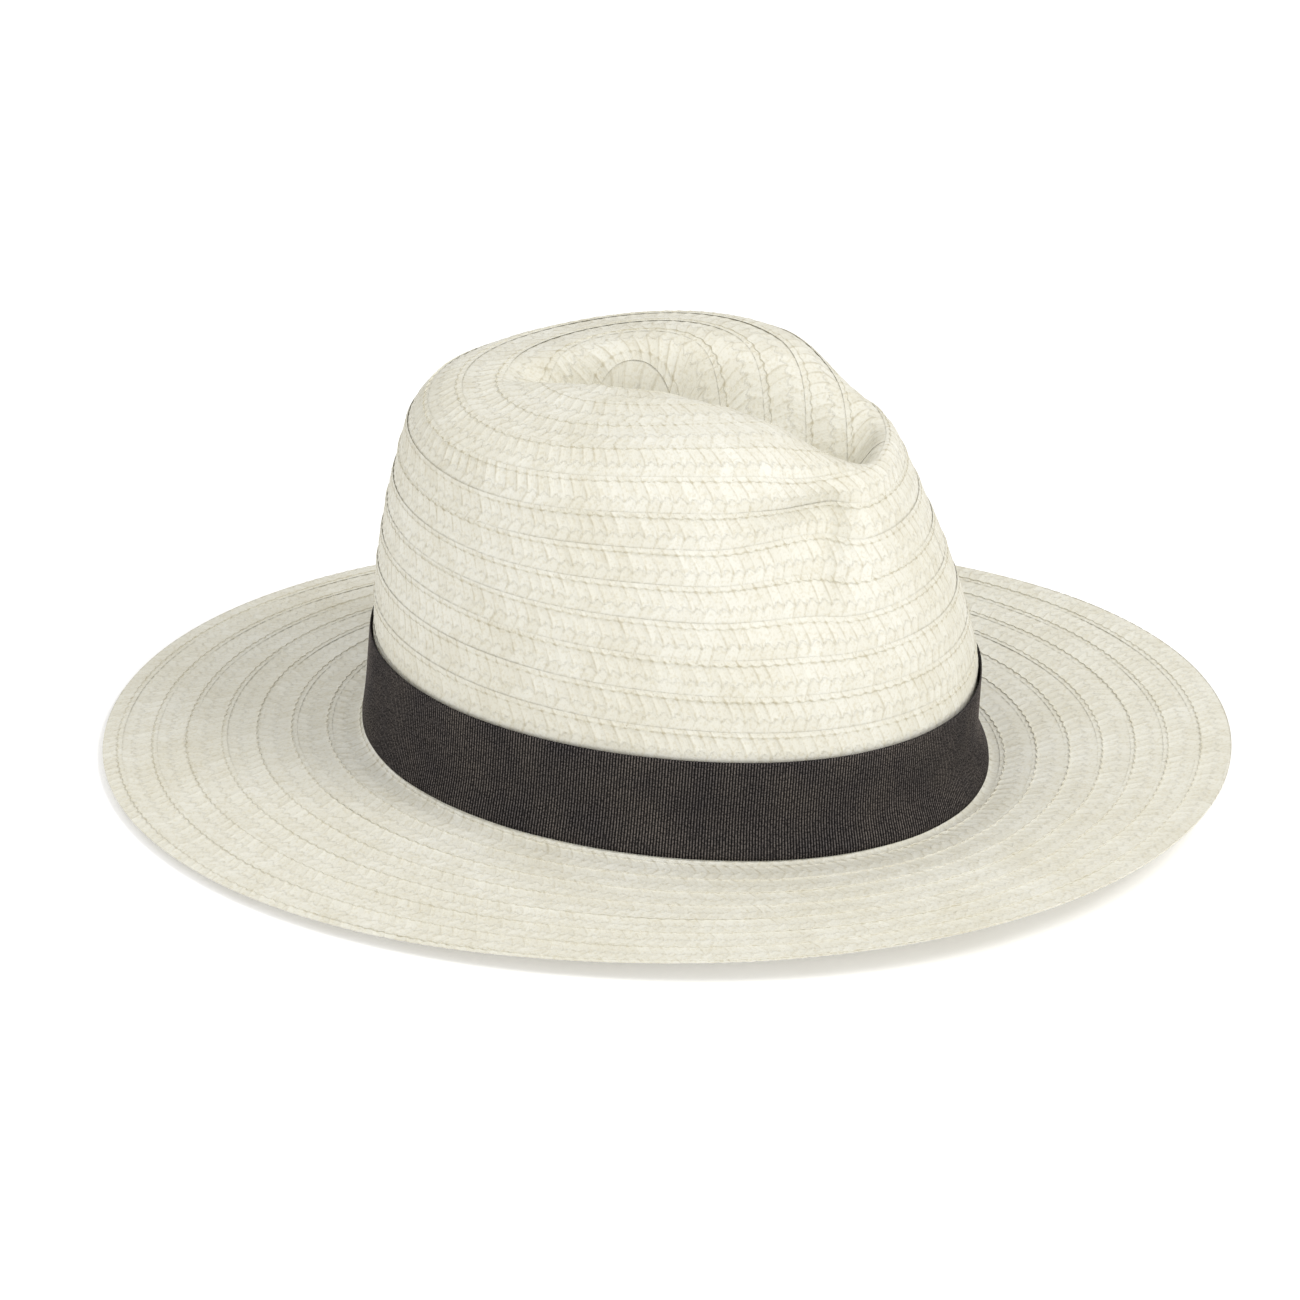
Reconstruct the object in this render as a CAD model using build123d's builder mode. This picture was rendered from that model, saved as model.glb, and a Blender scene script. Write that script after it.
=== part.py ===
from build123d import *
import math
import os

# Centre-crease braided straw hat, millimetres.
# +Z is up, the front of the hat faces -Y, the wearer's left is +X.
# The hat stands on z = 0, on the back of its brim and on the foot of its crown at the front.

# ---- head opening ----
HEAD_HALF_LENGTH = 100.7      # half of the crown's length at its foot, outside
HEAD_HALF_WIDTH = 85.9        # half of the crown's width at its foot, outside
SQUARENESS = 2.1              # exponent of the oval, where 2 is a plain ellipse
CROWN_LEAN = 3.1              # degrees that the crown leans down at the front
CROWN_LIFT = 8.5              # height of the middle of the crown's foot

# ---- straw ----
STRAW = 2.2                   # two overlapping layers of braid
BRAID_PITCH = 12.0            # from one round of braid to the next
CLEARANCE = 0.3               # gap left between pieces that lie on each other

# ---- crown before creasing ----
CROWN_HEIGHT = 140.5
WALL_TOP = 115.3              # where the wall ends and the shoulder begins
STRAIGHT_WALL = 35.0          # the wall is upright this far, under the band
WALL_CURVE = 0.000323         # how fast the wall draws in above that
WALL_CURVE_POWER = 1.45
DOME = 5.8                    # rise of the tip inside the shoulder
DOME_EDGE_ANGLE = 5.0         # degrees, slope where the shoulder meets the tip
CROWN_SET_BACK = 15.0         # the upper crown sits this much further back
FOOT_FLARE = 3.1              # the foot of the crown flares into the brim
FOOT_FLARE_FRONT = 2.3        # more at the front, less at the back
FOOT_FLARE_HEIGHT = 9.0

# ---- centre crease and the two front pinches ----
CREASE_DEPTH = 31.5
CREASE_HALF_WIDTH = 17.5
CREASE_HALF_WIDTH_BACK = 7.1
CREASE_BACK = 70.4
CREASE_BACK_RUN = 58.7        # length over which the crease fades in at the back
CREASE_FRONT = -66.5
CREASE_FRONT_RUN = 20.8
CREASE_SHARPNESS = 4.2
BACK_DROP = 10.8              # the tip falls towards the back
FRONT_DROP = 5.5              # and towards the front
PINCH_Y = -46.7
PINCH_Z = 103.1
PINCH_LENGTH = 18.0
PINCH_LENGTH_FRONT = 10.5  # the pinch ends more sharply toward the front
PINCH_HEIGHT = 23.9
PINCH_HEIGHT_TOP = 13.0  # and toward the crest
PINCH_DEPTH = 16.6

# ---- brim ----
SET_BACK_START = 35.0  # height where the crown starts to lean back
SET_BACK_RUN = 95.0
SET_BACK_POWER = 1.07
FRONT_HOLLOW = 1.0  # how far the front of the wall is drawn back
FRONT_HOLLOW_HEIGHT = 95.0
FRONT_HOLLOW_RUN = 40.0
FRONT_HOLLOW_LENGTH = 90.0
TOP_SHAPING_START = 60.0  # height above which the tip slopes to front and back
FRONT_DROP_START = -23.2
FRONT_DROP_RUN = 25.4
BACK_DROP_START = -15.0
BACK_DROP_RUN = 95.0
CREASE_NARROWING_START = -39.2
CREASE_NARROWING_RUN = 101.0
CREASE_FLOOR = 85.0  # height below which the crease fades out
CREASE_FLOOR_RUN = 40.0
PINCH_SPREAD = 45.0  # how far from the middle the pinch reaches its full depth
TIP_ROUNDING = 1.3  # the oval turns to a plain ellipse toward the tip
TIP_ROUNDING_START = 0.3
BRIM_WIDTH = 80.8             # mean width, from the crown's foot
BRIM_EXTRA_ENDS = 6.95        # wider at front and back, narrower at the sides
BRIM_BACK_EXTRA = 1.0
BRIM_FRONT_HEIGHT = 11.9      # height of the brim's edge at the front
BRIM_SIDE_HEIGHT = 4.1        # and at the sides; the back rests on the ground
BRIM_ROUNDS = 7
FOOT_ROUNDS = 3

# ---- trim ----
BAND_HEIGHT = 34.0
BAND_FOOT = 1.2
BAND_THICKNESS = 0.8
BOW_LENGTH = 62.0
BOW_HEIGHT = 30.0
BOW_THICKNESS = 2.4
KEEPER_WIDTH = 17.0
SWEATBAND_GAP = 0.9           # the sweatband hangs this far inside the straw
SWEATBAND_FOOT = 1.5
SWEATBAND_HEIGHT = 30.0
SWEATBAND_THICKNESS = 0.8
TAPE_WIDTH = 12.0
LABEL_THICKNESS = 0.4
SIZE_LABEL = (24.0, 12.0)     # width and height, blank
CARE_LABEL = (18.0, 26.0)
BUTTON_RADIUS = 7.0

RING_POINTS = 56              # points on each round's spline
REACH = 400.0                 # larger than the hat, for cutting boxes


def smooth(value):
    """Ease from 0 to 1."""
    value = min(max(value, 0.0), 1.0)
    return value * value * (3 - 2 * value)


def crown_profile():
    """Side profile from the tip's centre to the foot: rows of distance, half width and height."""
    wall = []
    wall_steps = 60
    for step in range(wall_steps + 1):
        height = WALL_TOP * step / wall_steps
        draw_in = WALL_CURVE * max(height - STRAIGHT_WALL, 0.0) ** WALL_CURVE_POWER
        wall.append((HEAD_HALF_WIDTH * (1 - draw_in), height))
    rise = wall[-1][1] - wall[-2][1]
    inward = wall[-2][0] - wall[-1][0]
    start = math.atan2(rise, inward)
    end = math.radians(DOME_EDGE_ANGLE)
    radius = (CROWN_HEIGHT - DOME - WALL_TOP) / (math.cos(end) - math.cos(start))
    shoulder = []
    shoulder_steps = 24
    for step in range(1, shoulder_steps + 1):
        angle = start + (end - start) * step / shoulder_steps
        half_width = wall[-1][0] - radius * (math.sin(start) - math.sin(angle))
        height = WALL_TOP + radius * (math.cos(angle) - math.cos(start))
        shoulder.append((half_width, height))
    dome = []
    dome_steps = 12
    dome_edge = shoulder[-1][0]
    for step in range(1, dome_steps + 1):
        half_width = dome_edge * (1 - step / dome_steps)
        dome.append((half_width, CROWN_HEIGHT - DOME * (half_width / dome_edge) ** 2))
    rows = []
    distance = 0.0
    previous = None
    for half_width, height in reversed(wall + shoulder + dome):
        if previous:
            distance += math.hypot(half_width - previous[0], height - previous[1])
        rows.append((distance, half_width, height))
        previous = (half_width, height)
    return rows


PROFILE = crown_profile()
PROFILE_LENGTH = PROFILE[-1][0]


def profile_at(distance):
    """Half width and height of the open crown at a distance from the tip's centre."""
    for near, far in zip(PROFILE, PROFILE[1:]):
        if distance <= far[0]:
            share = (distance - near[0]) / (far[0] - near[0])
            half_width = near[1] + share * (far[1] - near[1])
            height = near[2] + share * (far[2] - near[2])
            return half_width, height
    return PROFILE[-1][1], PROFILE[-1][2]


def oval(angle, half_width, squareness=SQUARENESS):
    """A point of the oval at an angle from the front, with y negative at the front."""
    power = 2 / squareness
    across = math.copysign(abs(math.sin(angle)) ** power, math.sin(angle))
    along = math.copysign(abs(math.cos(angle)) ** power, math.cos(angle))
    return half_width * across, -half_width * HEAD_HALF_LENGTH / HEAD_HALF_WIDTH * along


def outward(angle):
    """Unit normal of the head oval in plan."""
    step = 0.02
    ahead = oval(angle + step, HEAD_HALF_WIDTH)
    behind = oval(angle - step, HEAD_HALF_WIDTH)
    along_x = ahead[0] - behind[0]
    along_y = ahead[1] - behind[1]
    length = math.hypot(along_x, along_y)
    return along_y / length, -along_x / length


def lean(x, y, z):
    """From the crown's own upright frame to the hat's frame."""
    tilt = math.radians(CROWN_LEAN)
    return Vector(
        x,
        y * math.cos(tilt) - z * math.sin(tilt),
        y * math.sin(tilt) + z * math.cos(tilt) + CROWN_LIFT,
    )


def foot_flare(angle, height):
    """How far the foot of the crown stands out at a height."""
    width = FOOT_FLARE + FOOT_FLARE_FRONT * math.cos(angle)
    return width * math.exp(-((height / FOOT_FLARE_HEIGHT) ** 2))


def crown_point(angle, distance):
    """A point of the creased crown's outer surface."""
    half_width, height = profile_at(distance)
    fullness = half_width / HEAD_HALF_WIDTH
    x, y = oval(angle, half_width, 2 + (SQUARENESS - 2) * smooth(TIP_ROUNDING * fullness - TIP_ROUNDING_START))
    y += CROWN_SET_BACK * (max(height - SET_BACK_START, 0.0) / SET_BACK_RUN) ** SET_BACK_POWER
    hollow = math.exp(-(((height - FRONT_HOLLOW_HEIGHT) / FRONT_HOLLOW_RUN) ** 2))
    y += FRONT_HOLLOW * hollow * smooth(-y / FRONT_HOLLOW_LENGTH)
    normal_x, normal_y = outward(angle)
    flare = foot_flare(angle, height)
    x += normal_x * flare
    y += normal_y * flare

    upper = smooth((height - TOP_SHAPING_START) / (CROWN_HEIGHT - TOP_SHAPING_START))
    z = height - FRONT_DROP * upper * smooth((FRONT_DROP_START - y) / FRONT_DROP_RUN)
    z -= BACK_DROP * upper * smooth((y - BACK_DROP_START) / BACK_DROP_RUN)

    narrowing = smooth((y - CREASE_NARROWING_START) / CREASE_NARROWING_RUN)
    crease_width = CREASE_HALF_WIDTH + (CREASE_HALF_WIDTH_BACK - CREASE_HALF_WIDTH) * narrowing
    along = smooth((CREASE_BACK - y) / CREASE_BACK_RUN) * smooth((y - CREASE_FRONT) / CREASE_FRONT_RUN)
    across = 1 / (1 + (abs(x) / crease_width) ** CREASE_SHARPNESS)
    z -= CREASE_DEPTH * along * across * smooth((z - CREASE_FLOOR) / CREASE_FLOOR_RUN)

    pinch_length = PINCH_LENGTH_FRONT if y < PINCH_Y else PINCH_LENGTH
    pinch_height = PINCH_HEIGHT_TOP if z > PINCH_Z else PINCH_HEIGHT
    pinch = math.exp(-(((y - PINCH_Y) / pinch_length) ** 2) - ((z - PINCH_Z) / pinch_height) ** 2)
    inward = PINCH_DEPTH * pinch * smooth(abs(x) / PINCH_SPREAD)
    x = math.copysign(max(abs(x) - inward, 0.0), x)
    return lean(x, y, z)


def crown_normal(angle, distance):
    """Outward normal of the creased crown."""
    turn = 0.02
    step = 1.0
    near = max(distance - step, 2.0)
    along = crown_point(angle + turn, distance) - crown_point(angle - turn, distance)
    down = crown_point(angle, distance + step) - crown_point(angle, near)
    return along.cross(down).normalized() * -1


def crown_ring(distance, inset=0.0):
    """Points round the crown at one distance from the tip, inset from its outer surface."""
    points = []
    for index in range(RING_POINTS):
        angle = 2 * math.pi * (index + 0.5) / RING_POINTS
        points.append(crown_point(angle, distance) - crown_normal(angle, distance) * inset)
    return points


def wall_ring(height, outset):
    """Points round the crown's upright foot, at a height and a distance outside its surface."""
    points = []
    for index in range(RING_POINTS):
        angle = 2 * math.pi * (index + 0.5) / RING_POINTS
        x, y = oval(angle, HEAD_HALF_WIDTH)
        normal_x, normal_y = outward(angle)
        stand_off = outset + foot_flare(angle, height)
        points.append(lean(x + normal_x * stand_off, y + normal_y * stand_off, height))
    return points


def brim_edge_height(angle):
    """Height of the brim's edge: the back on the ground, the sides and the front raised."""
    mean = (BRIM_FRONT_HEIGHT + 2 * BRIM_SIDE_HEIGHT) / 4
    front = BRIM_FRONT_HEIGHT / 2
    ends = (BRIM_FRONT_HEIGHT - 2 * BRIM_SIDE_HEIGHT) / 4
    return mean + front * math.cos(angle) + ends * math.cos(2 * angle)


def brim_ring(share, drop=0.0):
    """Points round the brim at a share of its width, on its top face or dropped below it."""
    points = []
    foot = wall_ring(0.0, 0.0)
    for index in range(RING_POINTS):
        angle = 2 * math.pi * (index + 0.5) / RING_POINTS
        width = BRIM_WIDTH - BRIM_BACK_EXTRA * math.cos(angle) + BRIM_EXTRA_ENDS * math.cos(2 * angle)
        x, y = oval(angle, HEAD_HALF_WIDTH)
        normal_x, normal_y = outward(angle)
        edge = Vector(x + normal_x * width, y + normal_y * width, brim_edge_height(angle) + STRAW)
        point = foot[index] + (edge - foot[index]) * share
        points.append(point - Vector(0, 0, drop))
    return points


def ring_solid(rings):
    """A closed band whose section has one corner on each ring, in order."""
    parameters = [index / RING_POINTS for index in range(RING_POINTS + 1)]
    edges = [Edge.make_spline(ring, periodic=True, parameters=parameters) for ring in rings]
    faces = []
    for index, edge in enumerate(edges):
        faces.append(Face.make_surface_from_curves(edge, edges[(index + 1) % len(edges)]))
    return Solid(Shell(faces))


def wall_band(foot, top, inside, thickness):
    """A band that follows the crown's foot between two heights."""
    heights = [foot + (top - foot) * step / 4 for step in range(5)]
    outer = [wall_ring(height, inside + thickness) for height in heights]
    inner = [wall_ring(height, inside) for height in reversed(heights)]
    return ring_solid(outer + inner)


# ---- crown: one ruled face for each round of braid ----
round_starts = [BUTTON_RADIUS]
while round_starts[-1] + BRAID_PITCH / 2 < PROFILE_LENGTH - FOOT_ROUNDS * BRAID_PITCH:
    round_starts.append(round_starts[-1] + BRAID_PITCH / 2)
foot_steps = 4 * FOOT_ROUNDS
for step in range(foot_steps + 1):
    round_starts.append(PROFILE_LENGTH - FOOT_ROUNDS * BRAID_PITCH * (1 - step / foot_steps))
crown_outside = [crown_ring(distance) for distance in round_starts]
crown_inside = [crown_ring(distance, STRAW) for distance in reversed(round_starts)]

with BuildPart() as crown:
    add(ring_solid(crown_outside + crown_inside))
crown.part.label = "crown"

# ---- tip button: the coiled start of the braid at the bottom of the crease ----
tip_normal = (crown_normal(0.0, BUTTON_RADIUS) + crown_normal(math.pi, BUTTON_RADIUS)).normalized()
tip_edge = crown_ring(BUTTON_RADIUS)
tip_centre = sum(tip_edge, Vector(0, 0, 0)) * (1 / RING_POINTS)
with BuildPart() as tip_button:
    with BuildSketch(Plane(origin=tip_centre - tip_normal * STRAW, z_dir=tip_normal)) as button_outline:
        Circle(BUTTON_RADIUS - CLEARANCE)
    extrude(amount=STRAW)
    fillet(tip_button.edges().filter_by(GeomType.CIRCLE), radius=STRAW / 4)
tip_button.part.label = "tip_button"

# ---- brim ----
inner_rounds = BRIM_ROUNDS - 1
brim_shares = [index / BRIM_ROUNDS for index in range(inner_rounds + 1)]
brim_top = [brim_ring(share) for share in brim_shares]
brim_under = [brim_ring(share, STRAW) for share in reversed(brim_shares)]
with BuildPart() as brim:
    add(ring_solid(brim_top + brim_under))
brim.part.label = "brim"

# ---- edge round of the brim ----
edge_start = inner_rounds / BRIM_ROUNDS
with BuildPart() as brim_edge_braid:
    add(ring_solid([brim_ring(edge_start), brim_ring(1.0), brim_ring(1.0, STRAW), brim_ring(edge_start, STRAW)]))
brim_edge_braid.part.label = "brim_edge_braid"

# ---- grosgrain band round the foot of the crown ----
band_top = BAND_FOOT + BAND_HEIGHT
with BuildPart() as hat_band:
    add(wall_band(BAND_FOOT, band_top, CLEARANCE, BAND_THICKNESS))
hat_band.part.label = "hat_band"

# ---- flat bow over the band's joint, at the wearer's left ----
bow_inside = 2 * CLEARANCE + BAND_THICKNESS
bow_foot = BAND_FOOT + (BAND_HEIGHT - BOW_HEIGHT) / 2
with BuildPart() as band_bow:
    add(wall_band(bow_foot, bow_foot + BOW_HEIGHT, bow_inside, BOW_THICKNESS))
    with Locations((REACH / 2, 0, 0)):
        Box(REACH, BOW_LENGTH, REACH, mode=Mode.INTERSECT)
band_bow.part.label = "band_bow"

# ---- keeper wrapped round the middle of the bow ----
keeper_inside = bow_inside + BOW_THICKNESS + CLEARANCE
with BuildPart() as bow_keeper:
    add(wall_band(BAND_FOOT, band_top, keeper_inside, BAND_THICKNESS))
    with Locations((REACH / 2, 0, 0)):
        Box(REACH, KEEPER_WIDTH, REACH, mode=Mode.INTERSECT)
bow_keeper.part.label = "bow_keeper"

# ---- sweatband inside the head opening ----
sweatband_top = SWEATBAND_FOOT + SWEATBAND_HEIGHT
sweatband_inside = -STRAW - SWEATBAND_GAP - SWEATBAND_THICKNESS
with BuildPart() as sweatband:
    add(wall_band(SWEATBAND_FOOT, sweatband_top, sweatband_inside, SWEATBAND_THICKNESS))
sweatband.part.label = "sweatband"

# ---- tape over the sweatband's seam, at the back ----
lining_inside = sweatband_inside - CLEARANCE - LABEL_THICKNESS
with BuildPart() as seam_tape:
    add(wall_band(SWEATBAND_FOOT, sweatband_top, lining_inside, LABEL_THICKNESS))
    with Locations((0, REACH / 2, 0)):
        Box(TAPE_WIDTH, REACH, REACH, mode=Mode.INTERSECT)
seam_tape.part.label = "seam_tape"

# ---- blank size label, at the back beside the tape ----
size_foot = SWEATBAND_FOOT + (SWEATBAND_HEIGHT - SIZE_LABEL[1]) / 2
with BuildPart() as size_label:
    add(wall_band(size_foot, size_foot + SIZE_LABEL[1], lining_inside, LABEL_THICKNESS))
    with Locations((TAPE_WIDTH + SIZE_LABEL[0] / 2, REACH / 2, 0)):
        Box(SIZE_LABEL[0], REACH, REACH, mode=Mode.INTERSECT)
size_label.part.label = "size_label"

# ---- blank care label, on the other side of the tape ----
care_foot = SWEATBAND_FOOT + (SWEATBAND_HEIGHT - CARE_LABEL[1]) / 2
with BuildPart() as care_label:
    add(wall_band(care_foot, care_foot + CARE_LABEL[1], lining_inside, LABEL_THICKNESS))
    with Locations((-TAPE_WIDTH - CARE_LABEL[0] / 2, REACH / 2, 0)):
        Box(CARE_LABEL[0], REACH, REACH, mode=Mode.INTERSECT)
care_label.part.label = "care_label"

# ---- output ----
SUB_PARTS = [
    crown, tip_button, brim, brim_edge_braid, hat_band, band_bow,
    bow_keeper, sweatband, seam_tape, size_label, care_label,
]
os.makedirs("parts", exist_ok=True)
for sub_part in SUB_PARTS:
    export_step(sub_part.part, f"parts/{sub_part.part.label}.step")
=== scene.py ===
import bpy
import math
import numpy as np
from mathutils import Matrix, Vector


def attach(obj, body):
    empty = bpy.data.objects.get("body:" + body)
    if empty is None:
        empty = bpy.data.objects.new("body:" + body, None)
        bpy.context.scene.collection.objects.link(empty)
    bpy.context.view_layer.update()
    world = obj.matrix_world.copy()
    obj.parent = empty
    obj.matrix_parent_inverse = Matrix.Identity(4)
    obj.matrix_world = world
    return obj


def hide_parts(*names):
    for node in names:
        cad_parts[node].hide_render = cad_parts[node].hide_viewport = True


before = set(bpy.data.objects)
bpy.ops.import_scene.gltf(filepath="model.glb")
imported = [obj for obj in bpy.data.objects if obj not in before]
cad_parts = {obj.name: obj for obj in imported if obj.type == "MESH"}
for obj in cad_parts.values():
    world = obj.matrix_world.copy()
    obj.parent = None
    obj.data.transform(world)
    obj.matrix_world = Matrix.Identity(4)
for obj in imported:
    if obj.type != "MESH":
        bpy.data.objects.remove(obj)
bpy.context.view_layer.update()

# Lengths below are millimetres, as in the part's own source. Meshes are written in metres.
MM = 0.001
FULL_TURN = 2 * math.pi

# ---- crown and brim, the same driving dimensions as the CAD model ----
HEAD_HALF_LENGTH = 100.7      # of the crown's foot, outside
HEAD_HALF_WIDTH = 85.9
SQUARENESS = 2.1              # power of the head's oval, 2 for a plain ellipse
CROWN_LEAN = math.radians(3.1)
CROWN_LIFT = 8.5
STRAW = 2.2                   # thickness of the straw

CROWN_HEIGHT = 140.5
WALL_TOP = 115.3
STRAIGHT_WALL = 35.0          # height where the wall starts to draw in
WALL_CURVE = 0.000323
WALL_CURVE_POWER = 1.45
DOME = 5.8                    # rise of the tip
DOME_EDGE_ANGLE = math.radians(5.0)
TIP_ROUNDING = 1.3            # the oval turns to a plain ellipse toward the tip
TIP_ROUNDING_START = 0.3

CROWN_SET_BACK = 15.0
SET_BACK_START = 35.0         # height where the crown starts to lean back
SET_BACK_RUN = 95.0
SET_BACK_POWER = 1.07
FRONT_HOLLOW = 1.0            # how far the front of the wall is drawn back
FRONT_HOLLOW_HEIGHT = 95.0
FRONT_HOLLOW_RUN = 40.0
FRONT_HOLLOW_LENGTH = 90.0
FOOT_FLARE = 3.1
FOOT_FLARE_FRONT = 2.3
FOOT_FLARE_HEIGHT = 9.0

TOP_SHAPING_START = 60.0      # height above which the tip slopes to front and back
FRONT_DROP = 5.5
FRONT_DROP_START = -23.2
FRONT_DROP_RUN = 25.4
BACK_DROP = 10.8
BACK_DROP_START = -15.0
BACK_DROP_RUN = 95.0

CREASE_DEPTH = 31.5
CREASE_HALF_WIDTH = 17.5
CREASE_HALF_WIDTH_BACK = 7.1
CREASE_NARROWING_START = -39.2
CREASE_NARROWING_RUN = 101.0
CREASE_BACK = 70.4            # where the crease ends at the back
CREASE_BACK_RUN = 58.7
CREASE_FRONT = -66.5
CREASE_FRONT_RUN = 20.8
CREASE_SHARPNESS = 4.2
CREASE_FLOOR = 85.0           # height below which the crease fades out
CREASE_FLOOR_RUN = 40.0

PINCH_Y = -46.7
PINCH_Z = 103.1
PINCH_LENGTH = 18.0
PINCH_LENGTH_FRONT = 10.5     # the pinch ends more sharply toward the front
PINCH_HEIGHT = 23.9
PINCH_HEIGHT_TOP = 13.0       # and toward the crest
PINCH_DEPTH = 16.6
PINCH_SPREAD = 45.0           # how far from the middle the pinch reaches its full depth

BRIM_WIDTH = 80.8
BRIM_EXTRA_ENDS = 6.95
BRIM_BACK_EXTRA = 1.0
BRIM_FRONT_HEIGHT = 11.9      # of the free edge above the ground
BRIM_SIDE_HEIGHT = 4.1

# ---- braid ----
CROWN_ROUNDS = 16.5           # turns of the spiral from the tip's centre to the crown's foot
BRIM_ROUNDS = 7.5             # and from there to the brim's edge
BRIM_FLATNESS = 0.85          # the brim is pressed flatter than the crown
FIRST_ROUND = 0.03            # the spiral starts this far from the tip's centre, in rounds
FOOT_RADIUS = 0.35            # rounding where crown meets brim, in rounds
BRAID_WIDTH = 1.14            # in rounds, so the turns overlap by the rest
BRAID_OVERLAP = 0.07          # how far each turn reaches under the one before it, in rounds
SHINGLE = 0.22                # how far a turn's free edge stands above its hidden edge
SHINGLE_CURVE = 1.5
SURFACE_WANDER = 0.14         # slow waves of the whole braid
COLUMN_STEP = 0.45            # mesh spacing along the braid
ROWS_ACROSS = 24              # mesh rows across the braid

EDGE_SCALLOP = 0.022          # waves of the free edge, in rounds
EDGE_WANDER = 0.02
EDGE_PHASE = 0.45             # where the waves stand among the strands
EDGE_REACH = 4                # power with which the waves fade away from the edge
LIP_SHARPNESS = 16            # power with which the relief ends at both edges
LIP_ROLL = ((0.10, -0.10), (0.25, -0.12), (0.50, -0.04))    # drop and set-back of the rolled edge

# ---- weave: places across the braid run from 0 at the hidden edge to 1 at the free edge ----
WEAVE_DEPTH = 0.38            # relief of the strands
WEAVE_MIDDLE = 0.6            # relief that lies on the hat's surface
STRAND_PITCH = 4.1            # from one chevron to the next, along the braid
PITCH_WANDER = 0.10           # unevenness of the pitch, in strands
PITCH_WANDER_RATE = 4.0
CHEVRON_APEX = 0.57           # where the two arms of a chevron meet
MEETING_ZIGZAG = 0.06
MEETING_SCATTER = 0.05
MEETING_BLEND = 0.04
GAP_LEAST = 0.8               # how deep the shallowest gap between strands is
GAP_STEADY = 0.86             # share of a gap that doesn't open and close, and the share that does
GAP_WAVE = 0.14
GAP_WAVE_RATE = 8.0
LONG_ARM_LEAN = 2.7           # how far along the braid the long arm leans
LONG_ARM_CURVE = 1.4
LONG_ARM_FULLNESS = 2.2
LONG_ARM_RISE = 0.82          # least height of a strand, and how much it varies
LONG_ARM_RISE_SPREAD = 0.18
LONG_ARM_END_DROP = 0.22      # how far a strand dips where it dives under
LONG_ARM_END = 0.14
SHORT_ARM_LEAN = 2.6
SHORT_ARM_CURVE = 1.25
SHORT_ARM_FULLNESS = 2.4
SHORT_ARM_RISE = 0.74
SHORT_ARM_RISE_SPREAD = 0.2
SHORT_ARM_END_DROP = 0.18
SHORT_ARM_END = 0.12
SHORT_ARM_TWIST = 0.10
SHORT_ARM_TWIST_RATE = 9.0
PRESSED_LINE = 0.5            # depth of the line along the edge of the turn above
PRESSED_LINE_WIDTH = 0.018
SELVEDGE = 0.97               # where the edge loops start
SELVEDGE_LEAD = 0.02
SELVEDGE_RUN = 0.05
LOOP_HEIGHT = 0.80
LOOP_WAVE = 0.10
LOOP_HOLE = 0.2               # depth of the small holes in the loops
LOOP_HOLE_WIDTH = 0.025
LOOP_HOLE_LENGTH = 0.14
MEETING_HOLE = 0.5            # depth of the small holes where the arms meet
MEETING_HOLE_WIDTH = 0.04
MEETING_HOLE_LENGTH = 0.26

# ---- ribbon, bow and inner trim ----
RIB_PITCH = 0.95
POINTS_PER_RIB = 4
RIBBON_EDGE_SHARPNESS = 20    # power with which the ribs end at both edges
RING_ROWS = 26
STRIP_ROWS = 22
BAND_FOOT = 1.2
BAND_HEIGHT = 34.0
BAND_OUTSET = 0.75
BAND_THICKNESS = 0.45
BAND_RIB_DEPTH = 0.16
BAND_WAVER = 0.35
BOW_HALF_LENGTH = 30.0
BOW_HEIGHT = 30.0
BOW_THICKNESS = 0.4
BOW_RIB_DEPTH = 0.1
BOW_FOOT_OUTSET = 1.9         # outset of the bow's lower layer, its fold and its upper layer
BOW_FOLD_OUTSET = 2.9
BOW_TOP_OUTSET = 4.0
BOW_MIDDLE_OUTSET = 3.6
BOW_FOLD_SET_IN = 1.2
KEEPER_HALF_LENGTH = 8.0
KEEPER_TUCK = 0.6             # how far the keeper's ends turn in under the bow
KEEPER_THICKNESS = 0.45
SWEATBAND_FOOT = 1.5
SWEATBAND_HEIGHT = 30.0
SWEATBAND_INSIDE = -STRAW - 1.7
SWEATBAND_THICKNESS = 0.5
SWEATBAND_RIB_PITCH = 1.6
SWEATBAND_RIB_DEPTH = 0.18
SWEATBAND_WAVER = 0.3
LABEL_OUTSET = SWEATBAND_INSIDE - 0.55
LABEL_THICKNESS = 0.25
LABEL_RIB_PITCH = 0.6
LABEL_RIB_DEPTH = 0.03
STITCH_OUTSET = SWEATBAND_INSIDE - 0.45
STITCH_LEVEL = SWEATBAND_FOOT + 2.2
STITCH_SPACING = 4.0
STITCH_LENGTH = 3.1
STITCH_RADIUS = 0.28
STITCH_LIFT = 0.35            # rise of a stitch's middle, and depth of its ends
STITCH_SINK = 0.25
STITCH_SCATTER = 0.12


# ================= surface of the hat =================

def smooth(value):
    """Ease from 0 to 1."""
    value = np.clip(value, 0.0, 1.0)
    return value * value * (3 - 2 * value)


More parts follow.
